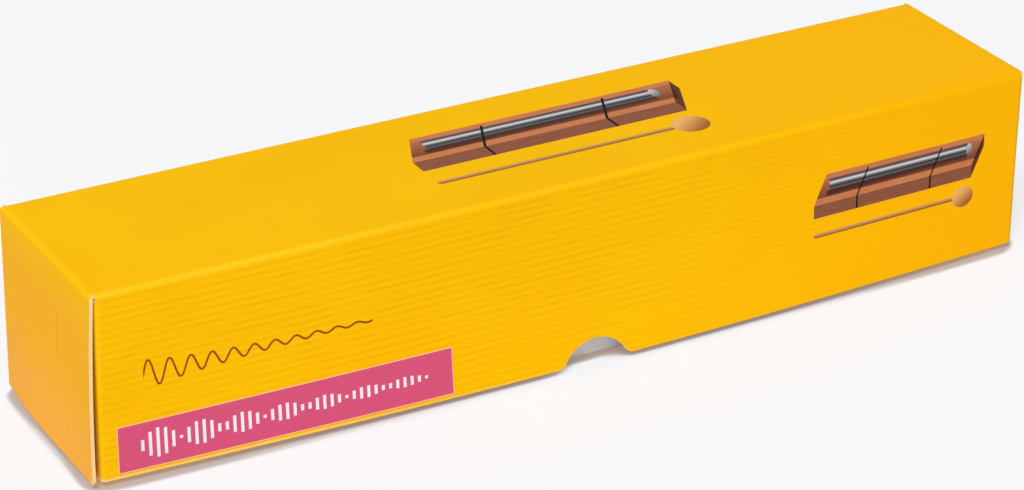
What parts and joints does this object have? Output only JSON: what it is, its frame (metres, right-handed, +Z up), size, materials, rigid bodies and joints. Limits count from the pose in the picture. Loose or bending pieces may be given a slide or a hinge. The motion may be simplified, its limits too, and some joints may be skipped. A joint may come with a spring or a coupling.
{
  "type": "boxed bar chime",
  "caption": "Bar chime on a scooped wooden base with a ball-headed mallet, packed in a long folded-board carton with a lift-off lid.",
  "frame": {"origin": "middle of the tray's underside, where the carton stands on a table", "axes": "+X along the carton's length, to the right as seen from the front; +Z up; the front, with the label, faces -Y"},
  "size_m": [0.3034, 0.071, 0.0572],
  "materials": {
    "yellow_board": "satin print on micro-flute board",
    "white_board": "matte",
    "magenta_paper": "satin print",
    "red_brown_wood": "satin varnish",
    "polished_aluminium": "polished",
    "black_elastic": "matte",
    "pale_wood": "satin varnish"
  },
  "bodies": {
    "tray": {"tray": "white_board"},
    "chime": {"base": "red_brown_wood", "left_cord": "black_elastic", "right_cord": "black_elastic"},
    "rod": {"rod": "polished_aluminium"},
    "mallet": {"mallet_head": "pale_wood", "mallet_stick": "pale_wood"},
    "lid": {"lid": "yellow_board", "note_label": "magenta_paper"}
  },
  "joints": [
    {"name": "chime_lift", "type": "slide", "parent": "tray", "child": "chime", "axis": [0, 0, 1], "range_m": [0, 0.075]},
    {"name": "rod_bounce", "type": "slide", "parent": "chime", "child": "rod", "axis": [0, 0, 1], "range_m": [-0.003, 0.003], "stiffness_N_per_m": 1000, "springref_m": 0.00102, "deforming": ["left_cord", "right_cord"]},
    {"name": "mallet_lift", "type": "slide", "parent": "chime", "child": "mallet", "axis": [0, 0, 1], "range_m": [0, 0.06]},
    {"name": "lid_lift", "type": "slide", "parent": "mallet", "child": "lid", "axis": [0, 0, 1], "range_m": [0, 0.12]}
  ]
}
